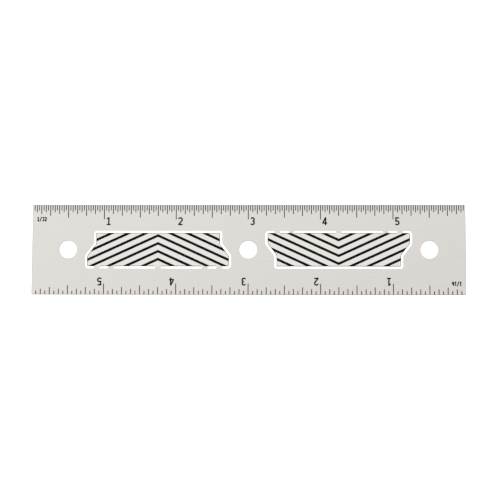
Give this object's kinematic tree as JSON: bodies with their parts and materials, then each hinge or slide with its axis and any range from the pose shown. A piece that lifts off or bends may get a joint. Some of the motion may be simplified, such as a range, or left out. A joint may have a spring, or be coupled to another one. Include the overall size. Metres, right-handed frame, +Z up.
{
  "type": "steel ruler",
  "caption": "Flat rectangular steel ruler with inch scales etched along its long edges, round hanging holes, and chevron panels outlined by narrow slots.",
  "frame": {"origin": "middle of the underside", "axes": "+X along the blade, away from the end where the fine scale starts; +Y across it, towards the fine scale; +Z up, out of the marked face"},
  "size_m": [0.1524, 0.0318, 0.001],
  "materials": {
    "brushed_steel": "fine satin, pale and slightly warm",
    "black_fill": "matt black filling in the etched marks"
  },
  "bodies": {
    "root": {"ruler_blade": "brushed_steel"}
  },
  "joints": []
}
